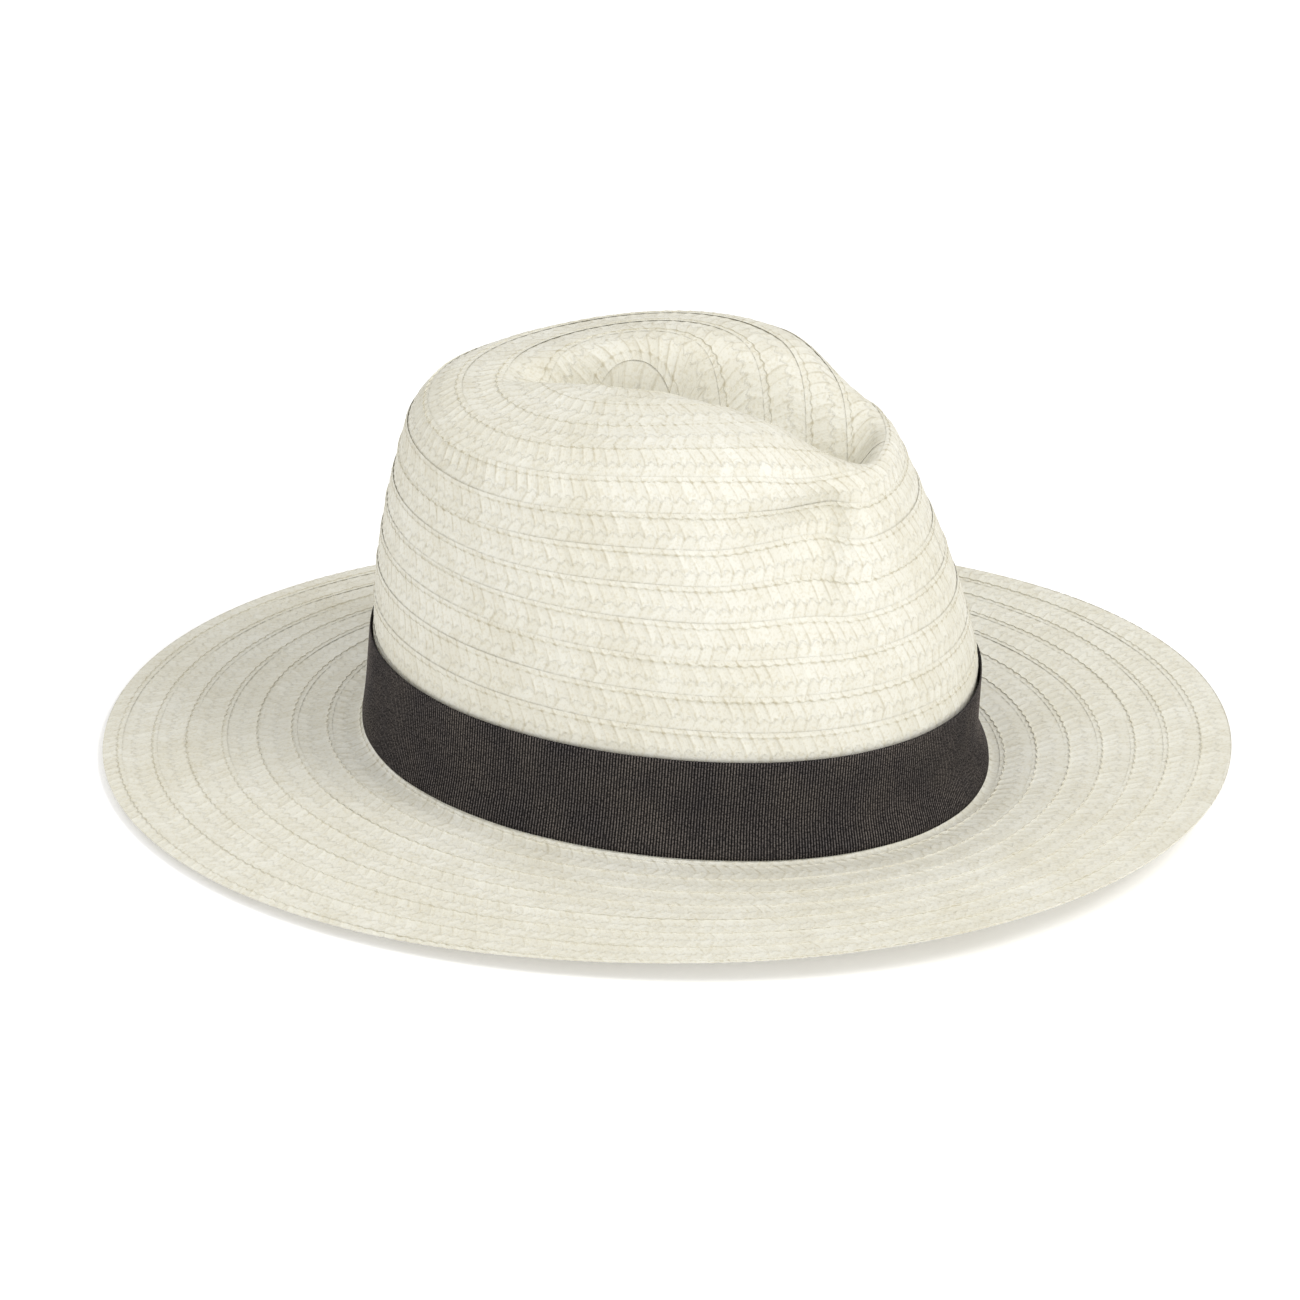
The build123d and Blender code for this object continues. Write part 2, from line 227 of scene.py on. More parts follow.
def crown_profile():
    """Distance from the tip's centre, half width and height, along the crown's side."""
    wall_height = np.linspace(0.0, WALL_TOP, 121)
    draw_in = WALL_CURVE * np.clip(wall_height - STRAIGHT_WALL, 0.0, None) ** WALL_CURVE_POWER
    wall = np.stack([HEAD_HALF_WIDTH * (1 - draw_in), wall_height], 1)
    start = math.atan2(wall[-1, 1] - wall[-2, 1], wall[-2, 0] - wall[-1, 0])
    end = DOME_EDGE_ANGLE
    radius = (CROWN_HEIGHT - DOME - WALL_TOP) / (math.cos(end) - math.cos(start))
    slope = np.linspace(start, end, 61)[1:]
    shoulder = np.stack([
        wall[-1, 0] - radius * (math.sin(start) - np.sin(slope)),
        WALL_TOP + radius * (np.cos(slope) - math.cos(start)),
    ], 1)
    dome_edge = shoulder[-1, 0]
    dome_width = np.linspace(dome_edge, 0.0, 41)[1:]
    dome = np.stack([dome_width, CROWN_HEIGHT - DOME * (dome_width / dome_edge) ** 2], 1)
    rows = np.concatenate([wall, shoulder, dome])[::-1]
    steps = np.hypot(*np.diff(rows, axis=0).T)
    distance = np.concatenate([[0.0], np.cumsum(steps)])
    return distance, rows[:, 0], rows[:, 1]


PROFILE_DISTANCE, PROFILE_WIDTH, PROFILE_HEIGHT = crown_profile()
PROFILE_LENGTH = PROFILE_DISTANCE[-1]


def signed_power(value, power):
    """A power that keeps the value's sign."""
    return np.sign(value) * np.abs(value) ** power


def oval(angle, half_width, squareness=SQUARENESS):
    """Points of the oval at angles from the front, with y negative at the front."""
    across = signed_power(np.sin(angle), 2 / squareness)
    along = signed_power(np.cos(angle), 2 / squareness)
    return half_width * across, -half_width * HEAD_HALF_LENGTH / HEAD_HALF_WIDTH * along


def outward(angle, step=0.02):
    """Unit normal of the head oval in plan, from its points a small step to either side."""
    ahead = oval(angle + step, HEAD_HALF_WIDTH)
    behind = oval(angle - step, HEAD_HALF_WIDTH)
    along_x = ahead[0] - behind[0]
    along_y = ahead[1] - behind[1]
    length = np.hypot(along_x, along_y)
    return along_y / length, -along_x / length


def lean(x, y, z):
    """From the crown's upright frame to the hat's frame."""
    leaned_y = y * math.cos(CROWN_LEAN) - z * math.sin(CROWN_LEAN)
    leaned_z = y * math.sin(CROWN_LEAN) + z * math.cos(CROWN_LEAN) + CROWN_LIFT
    return np.stack([x, leaned_y, leaned_z], -1)


def foot_flare(angle, height):
    """How far the wall's foot spreads, most at the front."""
    width = FOOT_FLARE + FOOT_FLARE_FRONT * np.cos(angle)
    return width * np.exp(-((height / FOOT_FLARE_HEIGHT) ** 2))


def crown_surface(angle, distance):
    """The creased crown's outer surface, at a distance from the tip's centre."""
    half_width = np.interp(distance, PROFILE_DISTANCE, PROFILE_WIDTH)
    height = np.interp(distance, PROFILE_DISTANCE, PROFILE_HEIGHT)
    fullness = half_width / HEAD_HALF_WIDTH
    squareness = 2 + (SQUARENESS - 2) * smooth(TIP_ROUNDING * fullness - TIP_ROUNDING_START)
    x, y = oval(angle, half_width, squareness)
    y = y + CROWN_SET_BACK * (np.clip(height - SET_BACK_START, 0.0, None) / SET_BACK_RUN) ** SET_BACK_POWER
    hollow = np.exp(-(((height - FRONT_HOLLOW_HEIGHT) / FRONT_HOLLOW_RUN) ** 2))
    y = y + FRONT_HOLLOW * hollow * smooth(-y / FRONT_HOLLOW_LENGTH)
    normal_x, normal_y = outward(angle)
    flare = foot_flare(angle, height)
    x = x + normal_x * flare
    y = y + normal_y * flare

    upper = smooth((height - TOP_SHAPING_START) / (CROWN_HEIGHT - TOP_SHAPING_START))
    z = height - FRONT_DROP * upper * smooth((FRONT_DROP_START - y) / FRONT_DROP_RUN)
    z = z - BACK_DROP * upper * smooth((y - BACK_DROP_START) / BACK_DROP_RUN)

    narrowing = smooth((y - CREASE_NARROWING_START) / CREASE_NARROWING_RUN)
    crease_width = CREASE_HALF_WIDTH + (CREASE_HALF_WIDTH_BACK - CREASE_HALF_WIDTH) * narrowing
    along = smooth((CREASE_BACK - y) / CREASE_BACK_RUN) * smooth((y - CREASE_FRONT) / CREASE_FRONT_RUN)
    across = 1 / (1 + (np.abs(x) / crease_width) ** CREASE_SHARPNESS)
    z = z - CREASE_DEPTH * along * across * smooth((z - CREASE_FLOOR) / CREASE_FLOOR_RUN)

    pinch_length = np.where(y < PINCH_Y, PINCH_LENGTH_FRONT, PINCH_LENGTH)
    pinch_height = np.where(z > PINCH_Z, PINCH_HEIGHT_TOP, PINCH_HEIGHT)
    pinch = np.exp(-(((y - PINCH_Y) / pinch_length) ** 2) - ((z - PINCH_Z) / pinch_height) ** 2)
    inward = PINCH_DEPTH * pinch * smooth(np.abs(x) / PINCH_SPREAD)
    x = np.sign(x) * np.clip(np.abs(x) - inward, 0.0, None)
    return lean(x, y, z)


def wall_surface(angle, height, outset=0.0):
    """The crown's upright foot, at a height and a distance outside its surface."""
    x, y = oval(angle, HEAD_HALF_WIDTH)
    normal_x, normal_y = outward(angle)
    stand_off = outset + foot_flare(angle, height)
    return lean(x + normal_x * stand_off, y + normal_y * stand_off, height + 0.0 * angle)


def brim_surface(angle, share):
    """The brim's top face, at a share of its width."""
    foot = wall_surface(angle, 0.0 * angle)
    width = BRIM_WIDTH - BRIM_BACK_EXTRA * np.cos(angle) + BRIM_EXTRA_ENDS * np.cos(2 * angle)
    x, y = oval(angle, HEAD_HALF_WIDTH)
    normal_x, normal_y = outward(angle)
    mean = (BRIM_FRONT_HEIGHT + 2 * BRIM_SIDE_HEIGHT) / 4
    ends = (BRIM_FRONT_HEIGHT - 2 * BRIM_SIDE_HEIGHT) / 4
    height = mean + BRIM_FRONT_HEIGHT / 2 * np.cos(angle) + ends * np.cos(2 * angle) + STRAW
    edge = np.stack([x + normal_x * width, y + normal_y * width, height], -1)
    return foot + (edge - foot) * np.asarray(share)[..., None]


def hat_surface(angle, rounds):
    """The hat's outer surface, by turns of the spiral from the tip's centre to the brim's edge."""
    def unrounded(turns):
        on_crown = crown_surface(angle, np.clip(turns / CROWN_ROUNDS, 0, 1) * PROFILE_LENGTH)
        on_brim = brim_surface(angle, np.clip((turns - CROWN_ROUNDS) / BRIM_ROUNDS, 0, 1))
        return np.where((turns <= CROWN_ROUNDS)[..., None], on_crown, on_brim)

    points = unrounded(rounds)
    near_foot = np.abs(rounds - CROWN_ROUNDS) < FOOT_RADIUS
    if near_foot.any():
        whole = np.full_like(rounds, CROWN_ROUNDS)
        share = np.clip((rounds - CROWN_ROUNDS) / (2 * FOOT_RADIUS) + 0.5, 0, 1)[..., None]
        above = unrounded(whole - FOOT_RADIUS)
        corner = unrounded(whole)
        below = unrounded(whole + FOOT_RADIUS)
        bend = (1 - share) ** 2 * above + 2 * share * (1 - share) * corner + share ** 2 * below
        points = np.where(near_foot[..., None], bend, points)
    return points


# ================= mesh helpers =================

def new_mesh(name, points, quads, values=None):
    """A smooth mesh from points in millimetres and quads, with float values stored on its points."""
    mesh = bpy.data.meshes.new(name)
    mesh.vertices.add(len(points))
    mesh.vertices.foreach_set("co", (points * MM).astype(np.float32).ravel())
    mesh.loops.add(quads.size)
    mesh.loops.foreach_set("vertex_index", quads.astype(np.int32).ravel())
    mesh.polygons.add(len(quads))
    mesh.polygons.foreach_set("loop_start", np.arange(0, quads.size, 4, dtype=np.int32))
    mesh.update(calc_edges=True)
    mesh.polygons.foreach_set("use_smooth", np.ones(len(quads), dtype=bool))
    for key, data in (values or {}).items():
        attribute = mesh.attributes.new(key, "FLOAT", "POINT")
        attribute.data.foreach_set("value", np.ascontiguousarray(data, dtype=np.float32).ravel())
    mesh.validate()
    piece = bpy.data.objects.new(name, mesh)
    bpy.context.scene.collection.objects.link(piece)
    return piece


def grid_quads(rows, columns, close_rows=False, close_columns=False):
    """Quads of a grid whose points are listed row by row."""
    index = np.arange(rows * columns).reshape(rows, columns)
    if close_rows:
        index = np.concatenate([index, index[:1]], 0)
    if close_columns:
        index = np.concatenate([index, index[:, :1]], 1)
    corners = [index[:-1, :-1], index[:-1, 1:], index[1:, 1:], index[1:, :-1]]
    return np.stack([corner.ravel() for corner in corners], 1)


def grid_normals(points):
    """Unit normals of a grid of points."""
    along = np.gradient(points, axis=1)
    across = np.gradient(points, axis=0)
    normal = np.cross(across, along)
    return normal / np.maximum(np.linalg.norm(normal, axis=-1, keepdims=True), 1e-9)


def scatter(number, salt=0.0):
    """A repeatable value from 0 to 1 for each whole number."""
    return np.modf(np.abs(np.sin(number * 12.9898 + salt * 78.233)) * 43758.5453)[0]


def wander(along, salt=0.0):
    """A slow, repeatable wave from -1 to 1 along a length."""
    first = np.sin(along / 23.0 + salt)
    second = np.sin(along / 9.7 + 2.1 * salt + 1.3)
    third = np.sin(along / 57.0 + 0.7 * salt)
    return (first + 0.6 * second + 0.8 * third) / 2.4


# ================= braid =================

def plump(phase, across, fullness, salt):
    """Section of a row of strands: full in the middle, with gaps that open and close between them."""
    between = np.floor(phase + 0.5)
    gap = GAP_LEAST + (1 - GAP_LEAST) * scatter(between, salt)
    wave = np.sin(GAP_WAVE_RATE * across + FULL_TURN * scatter(between, salt + 1.0))
    gap = gap * (GAP_STEADY + GAP_WAVE * wave)
    return 1 - gap * np.abs(2 * np.modf(phase)[0] - 1) ** fullness


def plait(along, across):
    """Relief up to 1, each strand's own value, and the count of strands, at a place on the braid.

    Two rows of plump floats meet in rounded chevrons. The outer row's floats are less even, and
    small holes show where the two rows interlock. The last number of each scatter picks its series,
    and the whole numbers added to the phases keep them above zero."""
    uneven = PITCH_WANDER * wander(along * PITCH_WANDER_RATE)
    inner_share = np.clip(across / CHEVRON_APEX, 0, 1)
    long_lean = LONG_ARM_LEAN * (1 - (1 - inner_share) ** LONG_ARM_CURVE)
    long_phase = (along - long_lean) / STRAND_PITCH + 1000.0
    long_phase = long_phase + uneven
    long_strand = np.floor(long_phase)
    zigzag = MEETING_ZIGZAG * np.cos(FULL_TURN * long_phase)
    meeting = CHEVRON_APEX + zigzag + MEETING_SCATTER * (scatter(long_strand, 3.0) - 0.5)
    outer_share = np.clip((across - CHEVRON_APEX) / (1 - CHEVRON_APEX), 0, 1)
    short_lean = SHORT_ARM_LEAN * outer_share ** SHORT_ARM_CURVE - LONG_ARM_LEAN
    short_phase = (along + short_lean) / STRAND_PITCH + 2000.0
    short_phase = short_phase + uneven
    short_strand = np.floor(short_phase)
    beyond = smooth((across - meeting + MEETING_BLEND) / (2 * MEETING_BLEND))

    to_long_end = np.clip((across - meeting + LONG_ARM_END) / LONG_ARM_END, 0, 1)
    long_end = 1 - LONG_ARM_END_DROP * to_long_end ** 2
    long_rise = LONG_ARM_RISE + LONG_ARM_RISE_SPREAD * scatter(long_strand, 1.0)
    long_relief = plump(long_phase, across, LONG_ARM_FULLNESS, 7.0) * long_rise * long_end
    to_short_end = np.clip((meeting + SHORT_ARM_END - across) / SHORT_ARM_END, 0, 1)
    short_end = 1 - SHORT_ARM_END_DROP * to_short_end ** 2
    short_rise = SHORT_ARM_RISE + SHORT_ARM_RISE_SPREAD * scatter(short_strand, 2.0)
    twist_wave = np.cos(2 * FULL_TURN * short_phase + SHORT_ARM_TWIST_RATE * across)
    twist = SHORT_ARM_TWIST * twist_wave * scatter(short_strand, 8.0)
    short_relief = plump(short_phase, across, SHORT_ARM_FULLNESS, 9.0) * short_rise * short_end + twist
    relief = long_relief * (1 - beyond) + short_relief * beyond

    # the turn above presses a crease into this one
    relief = relief - PRESSED_LINE * np.exp(-(((across - 1 + 1 / BRAID_WIDTH) / PRESSED_LINE_WIDTH) ** 2))

    # at the free edge the strands turn back in small loops
    loop_phase = short_phase + 0.5
    loops = LOOP_HEIGHT + LOOP_WAVE * np.cos(FULL_TURN * loop_phase)
    selvedge = smooth((across - SELVEDGE + SELVEDGE_LEAD) / SELVEDGE_RUN)
    relief = relief * (1 - selvedge) + loops * selvedge
    hole_across = ((across - SELVEDGE) / LOOP_HOLE_WIDTH) ** 2
    hole_along = ((np.modf(loop_phase)[0] - 0.5) / LOOP_HOLE_LENGTH) ** 2
    some_loops = smooth(2.0 * scatter(np.floor(loop_phase), 11.0) - 0.5)
    relief = relief - LOOP_HOLE * np.exp(-hole_across - hole_along) * some_loops

    # small holes where the two arms interlock
    hole_across = ((across - meeting) / MEETING_HOLE_WIDTH) ** 2
    hole_along = ((1 - np.abs(2 * np.modf(long_phase + 0.5)[0] - 1)) / MEETING_HOLE_LENGTH) ** 2
    some_meetings = smooth(2.4 * scatter(long_strand, 5.0) - 0.9)
    relief = relief - MEETING_HOLE * np.exp(-hole_across - hole_along) * some_meetings
    past_meeting = across >= meeting
    tint = np.where(past_meeting, scatter(short_strand, 6.0), scatter(long_strand, 4.0))
    strand = np.where(past_meeting, short_phase, long_phase)
    return np.clip(relief, -0.3, 1), tint, strand


def braid_turn(name, turn, along_start):
    """One turn of the spiral braid. Returns the piece and the length of braid used."""
    last_round = CROWN_ROUNDS + BRIM_ROUNDS
    coarse = np.linspace(0, FULL_TURN, 181)
    middle_round = np.clip(turn + coarse / FULL_TURN + 0.5, FIRST_ROUND, last_round)
    middle = hat_surface(coarse, middle_round)
    travelled = np.concatenate([[0.0], np.cumsum(np.linalg.norm(np.diff(middle, axis=0), axis=1))])
    length = travelled[-1]
    columns = max(int(length / COLUMN_STEP), 60)
    angle = np.linspace(0, FULL_TURN, columns + 1)
    along_middle = along_start + np.interp(angle, coarse, travelled)

    across = np.linspace(0, 1, ROWS_ACROSS)
    angle_grid, across_grid = np.meshgrid(angle, across)
    along_grid = np.broadcast_to(along_middle, angle_grid.shape)
    rounds = turn + angle_grid / FULL_TURN - BRAID_OVERLAP + BRAID_WIDTH * across_grid
    loop_phase = (along_grid + SHORT_ARM_LEAN) / STRAND_PITCH + EDGE_PHASE
    scallop = EDGE_SCALLOP * np.cos(FULL_TURN * loop_phase) + EDGE_WANDER * wander(along_grid)
    rounds = rounds + scallop * across_grid ** EDGE_REACH
    rounds = np.clip(rounds, FIRST_ROUND, last_round)
    base = hat_surface(angle_grid, rounds)
    normal = -grid_normals(base)
    relief, tint, strand = plait(along_grid, across_grid)
    shingle = SHINGLE
    if turn >= CROWN_ROUNDS:
        relief = 1 - (1 - relief) * BRIM_FLATNESS
        shingle = SHINGLE * BRIM_FLATNESS ** 4
    lip = 1 - np.abs(2 * across_grid - 1) ** LIP_SHARPNESS
    stand = -shingle / 2 + shingle * across_grid ** SHINGLE_CURVE
    stand = stand + WEAVE_DEPTH * (relief - WEAVE_MIDDLE) * lip
    stand = stand + SURFACE_WANDER * wander(along_grid, 2.0 + turn)
    top = base + normal * stand[..., None]

    # the free edge rolls over and returns a little way underneath
    inward = top[-4] - top[-1]
    inward = inward / np.maximum(np.linalg.norm(inward, axis=-1, keepdims=True), 1e-9)
    roll = [top[-1] - normal[-1] * drop + inward * back for drop, back in LIP_ROLL]
    points = np.concatenate([top, np.stack(roll)])
    extra = len(roll)
    relief = np.concatenate([relief, np.repeat(relief[-1:], extra, 0)])
    strand = np.concatenate([strand, np.repeat(strand[-1:], extra, 0)])
    tint = np.concatenate([tint, np.repeat(tint[-1:], extra, 0)])
    along_all = np.concatenate([along_grid, np.repeat(along_grid[-1:], extra, 0)])
    across_all = np.concatenate([across_grid, np.ones((extra, columns + 1))])
    # relief also darkens the straw's colour in its material: painted shade in the gaps, holes and pressed
    # lines
    values = {"relief": relief, "tint": tint, "strand": strand, "along": along_all, "across": across_all}
    piece = new_mesh(name, points.reshape(-1, 3), grid_quads(len(points), columns + 1), values)
    return piece, length


def straw_braid(material):
    """The whole spiral, one piece for each turn."""
    along = 0.0
    turns = int(CROWN_ROUNDS + BRIM_ROUNDS)
    for turn in range(turns):
        if turn == 0:
            name, node = "tip_coil", "tip_button"
        elif turn < CROWN_ROUNDS:
            name, node = f"crown_round_{turn:02d}", "crown"
        elif turn < turns - 1:
            name, node = f"brim_round_{turn - int(CROWN_ROUNDS)}", "brim"
        else:
            name, node = "brim_edge_round", "brim_edge_braid"
        piece, length = braid_turn(name, turn, along)
        along += length
        finish(piece, material, node)


# ================= ribbon and inner trim =================

def finish(piece, material, node):
    """Give a piece its material, hang it under the root body and hide the CAD part that it stands in for."""
    piece.data.materials.append(material)
    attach(piece, "root")
    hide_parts(node)


def arc_to_angle(arc, start_angle):
    """The angle at a distance round the crown's foot from a start angle."""
    angles = np.linspace(start_angle - FULL_TURN, start_angle + FULL_TURN, 4001)
    x, y = oval(angles, HEAD_HALF_WIDTH)
    steps = np.hypot(np.diff(x), np.diff(y))
    distance = np.concatenate([[0.0], np.cumsum(steps)])
    distance = distance - np.interp(start_angle, angles, distance)
    return np.interp(arc, distance, angles)


def ring_length(level, outset):
    """Distance round the crown's foot at a height and an outset from its surface."""
    angle = np.linspace(0, FULL_TURN, 2001)
    points = wall_surface(angle, level + 0.0 * angle, outset)
    return np.linalg.norm(np.diff(points, axis=0), axis=1).sum()


def ribbed_ring(name, foot, height, inside, thickness, rib_pitch, rib_depth, waver, faces_in=False):
    """A ribbon round the crown's foot, with ribs across its length and a thickness."""
    x, y = oval(np.linspace(0, FULL_TURN, 2001), HEAD_HALF_WIDTH)
    around = np.hypot(np.diff(x), np.diff(y)).sum()
    ribs = int(around / rib_pitch)
    columns = ribs * POINTS_PER_RIB
    arc = np.linspace(0, around, columns, endpoint=False)
    angle = arc_to_angle(arc, math.pi / 2)
    share = np.linspace(0, 1, RING_ROWS)
    arc_grid, share_grid = np.meshgrid(arc, share)
    angle_grid = np.broadcast_to(angle, arc_grid.shape)
    swell = 0.5 + 0.5 * np.cos(FULL_TURN * arc_grid / around * ribs)
    selvedge = 1 - np.abs(2 * share_grid - 1) ** RIBBON_EDGE_SHARPNESS
    buckle = waver * wander(arc_grid, 1.7) * np.sin(math.pi * share_grid)
    buckle = buckle + 0.4 * waver * wander(arc_grid * 2.3, 4.0)
    level = foot + height * share_grid + 0.5 * waver * wander(arc_grid * 1.3, 0.4) * (1 - share_grid)
    level = level + 0.06 * np.cos(FULL_TURN * arc_grid / around * ribs) * (np.abs(2 * share_grid - 1) > 0.97)
    front = inside + thickness + rib_depth * swell * selvedge + buckle
    back = inside + buckle
    if faces_in:
        front = inside - rib_depth * swell * selvedge + buckle
        back = inside + thickness + buckle
    face = wall_surface(angle_grid, level, front)
    rear = wall_surface(angle_grid[::8], level[::8], back[::8])
    points = np.concatenate([face, rear[::-1]])
    # rib also sets the ribbon material's painted groove shade and painted rib highlight
    values = {
        "rib": np.concatenate([swell, swell[::8]]),
        "across": np.concatenate([share_grid, share_grid[::8][::-1]]),
        "along": np.concatenate([arc_grid, arc_grid[::8]]),
    }
    quads = grid_quads(len(points), columns, close_rows=True, close_columns=True)
    return new_mesh(name, points.reshape(-1, 3), quads, values), around


def ribbed_strip(name, path_arc, path_outset, foot, height, thickness, middle_angle, rib_pitch, rib_depth):
    """A ribbon strip that follows a folded path (distance round the crown, outset), with thickness."""
    steps = np.hypot(np.diff(path_arc), np.diff(path_outset))
    along = np.concatenate([[0.0], np.cumsum(steps)])
    count = int(along[-1] / rib_pitch) * POINTS_PER_RIB
    travel = np.linspace(0, along[-1], count)
    arc = np.interp(travel, along, path_arc)
    outset = np.interp(travel, along, path_outset)
    tangent = np.stack([np.gradient(arc), np.gradient(outset)])
    tangent = tangent / np.maximum(np.hypot(*tangent), 1e-9)
    share_grid, travel_grid = np.meshgrid(np.linspace(0, 1, STRIP_ROWS), travel, indexing="ij")
    swell = 0.5 + 0.5 * np.cos(FULL_TURN * travel_grid / rib_pitch)
    selvedge = 1 - np.abs(2 * share_grid - 1) ** RIBBON_EDGE_SHARPNESS
    level = foot + height * share_grid

    def side(offset):
        moved_arc = arc - tangent[1] * offset
        moved_outset = outset + tangent[0] * offset
        return wall_surface(arc_to_angle(moved_arc, middle_angle), level, moved_outset)

    face = side(thickness / 2 + rib_depth * swell * selvedge)
    rear = side(-thickness / 2 - rib_depth * swell * selvedge)
    points = np.concatenate([face, rear[::-1]])
    # rib also sets the ribbon material's painted groove shade and painted rib highlight
    values = {
        "rib": np.concatenate([swell, swell]),
        "across": np.concatenate([share_grid, share_grid[::-1]]),
        "along": np.concatenate([travel_grid, travel_grid]),
    }
    quads = grid_quads(len(points), count, close_rows=True)
    lower = np.arange(STRIP_ROWS - 1)
    upper = 2 * STRIP_ROWS - 1 - lower
    for end in (0, count - 1):
        cap = np.stack([lower, lower + 1, upper - 1, upper], 1) * count + end
        quads = np.concatenate([quads, cap[:, ::-1] if end else cap])
    return new_mesh(name, points.reshape(-1, 3), quads, values), along[-1]


def hat_ribbon(material):
    """The band round the crown, with its flat bow and keeper at the wearer's left."""
    band, _ = ribbed_ring(
        "ribbon_band", BAND_FOOT, BAND_HEIGHT, BAND_OUTSET, BAND_THICKNESS,
        RIB_PITCH, BAND_RIB_DEPTH, BAND_WAVER
    )
    finish(band, material, "hat_band")
    length = ring_length(BAND_FOOT + BAND_HEIGHT / 2, BAND_OUTSET + BAND_THICKNESS / 2)

    left = math.pi / 2
    bow_foot = BAND_FOOT + (BAND_HEIGHT - BOW_HEIGHT) / 2
    thirds = BOW_HALF_LENGTH * np.array([0.0, 1 / 3, 2 / 3])
    fold = np.linspace(-math.pi / 2, math.pi / 2, 13)
    for name, way in (("bow_front_loop", -1), ("bow_back_loop", 1)):
        arc = np.concatenate([thirds, BOW_HALF_LENGTH - BOW_FOLD_SET_IN + np.cos(fold), thirds[::-1]]) * way
        outset = np.concatenate([
            [BOW_FOOT_OUTSET] * 3,
            BOW_FOLD_OUTSET + np.sin(fold),
            [BOW_TOP_OUTSET, BOW_TOP_OUTSET, BOW_MIDDLE_OUTSET],
        ])
        loop, length = ribbed_strip(
            name, arc, outset, bow_foot, BOW_HEIGHT, BOW_THICKNESS, left, RIB_PITCH, BOW_RIB_DEPTH
        )
        finish(loop, material, "band_bow")

    tucked = KEEPER_HALF_LENGTH + KEEPER_TUCK
    arc = np.array([-tucked, -KEEPER_HALF_LENGTH, 0.0, KEEPER_HALF_LENGTH, tucked])
    outset = np.array([4.2, 4.6, 4.75, 4.6, 4.2])
    keeper, length = ribbed_strip(
        "bow_wrap", arc, outset, BAND_FOOT, BAND_HEIGHT, KEEPER_THICKNESS, left, RIB_PITCH, BOW_RIB_DEPTH
    )
    finish(keeper, material, "bow_keeper")


def inner_trim(band_material, label_material, thread_material):
    """Sweatband, its seam tape and stitches, and two blank labels."""
    band, around = ribbed_ring(
        "sweatband_tape", SWEATBAND_FOOT, SWEATBAND_HEIGHT, SWEATBAND_INSIDE, SWEATBAND_THICKNESS,
        SWEATBAND_RIB_PITCH, SWEATBAND_RIB_DEPTH, SWEATBAND_WAVER, faces_in=True
    )
    finish(band, band_material, "sweatband")

    # name, node, distance from the middle of the back, width, foot, height
    back = math.pi
    tabs = (
        ("sweatband_seam_tape", "seam_tape", 0.0, 12.0, SWEATBAND_FOOT, SWEATBAND_HEIGHT),
        ("size_tab", "size_label", -25.0, 24.0, 10.5, 12.0),
        ("care_tab", "care_label", 23.0, 18.0, 3.5, 26.0),
    )
    for name, node, middle, width, foot, height in tabs:
        arc = middle + np.array([-width / 2, 0.0, width / 2])
        outset = np.full(3, LABEL_OUTSET)
        tab, _ = ribbed_strip(
            name, arc, outset, foot, height, LABEL_THICKNESS, back, LABEL_RIB_PITCH, LABEL_RIB_DEPTH
        )
        if node == "seam_tape":
            finish(tab, band_material, node)
        else:
            finish(tab, label_material, node)

    stitches = stitch_row("sweatband_stitches", around)
    finish(stitches, thread_material, "sweatband")


def stitch_row(name, around):
    """A row of thread stitches along the sweatband's lower edge."""
    count = int(around / STITCH_SPACING)
    start = np.arange(count) * around / count
    steps = np.linspace(0, 1, 9)
    spin = np.linspace(0, FULL_TURN, 6, endpoint=False)
    points = []
    quads = []
    for index, arc_start in enumerate(start):
        arc = arc_start + steps * STITCH_LENGTH
        lift = STITCH_LIFT * np.sin(math.pi * steps) - STITCH_SINK
        radius = STITCH_RADIUS * np.sqrt(np.clip(1 - (2 * steps - 1) ** 8, 0.05, 1))
        height = STITCH_LEVEL + radius[:, None] * np.cos(spin) + STITCH_SCATTER * (scatter(index) - 0.5)
        distance = STITCH_OUTSET - lift[:, None] - radius[:, None] * np.sin(spin)
        angle = arc_to_angle(arc, 0.0)[:, None] + 0.0 * spin
        points.append(wall_surface(angle, height, distance).reshape(-1, 3))
        quads.append(grid_quads(len(steps), len(spin), close_columns=True) + index * len(steps) * len(spin))
    return new_mesh(name, np.concatenate(points), np.concatenate(quads))


# ================= materials =================

def new_material(name):
    """A material with its nodes, its links and its shader."""
    material = bpy.data.materials.new(name)
    material.use_nodes = True
    nodes = material.node_tree.nodes
    return material, nodes, material.node_tree.links, nodes["Principled BSDF"]


def attribute(nodes, name):
    """A value stored on the mesh's points."""
    node = nodes.new("ShaderNodeAttribute")
    node.attribute_name = name
    return node.outputs["Fac"]


def ramp(nodes, links, value, low, high, start=0.0, end=1.0):
    """A colour ramp between two colours."""
    node = nodes.new("ShaderNodeValToRGB")
    node.color_ramp.elements[0].position = start
    node.color_ramp.elements[0].color = (*low, 1)
    node.color_ramp.elements[1].position = end
    node.color_ramp.elements[1].color = (*high, 1)
    links.new(value, node.inputs["Fac"])
    return node.outputs["Color"]


def noise(nodes, links, scale, detail, vector=None):
    """Noise in object space, in cycles per metre, or on another vector."""
    if vector is None:
        vector = nodes.new("ShaderNodeTexCoord").outputs["Object"]
    node = nodes.new("ShaderNodeTexNoise")
    node.inputs["Scale"].default_value = scale
    node.inputs["Detail"].default_value = detail
    links.new(vector, node.inputs["Vector"])
    return node.outputs["Fac"]


def multiply(nodes, links, amount, first, second):
    """Two colours multiplied, by an amount up to 1."""
    node = nodes.new("ShaderNodeMix")
    node.data_type = "RGBA"
    node.blend_type = "MULTIPLY"
    node.inputs["Factor"].default_value = amount
    links.new(first, node.inputs["A"])
    links.new(second, node.inputs["B"])
    return node.outputs["Result"]


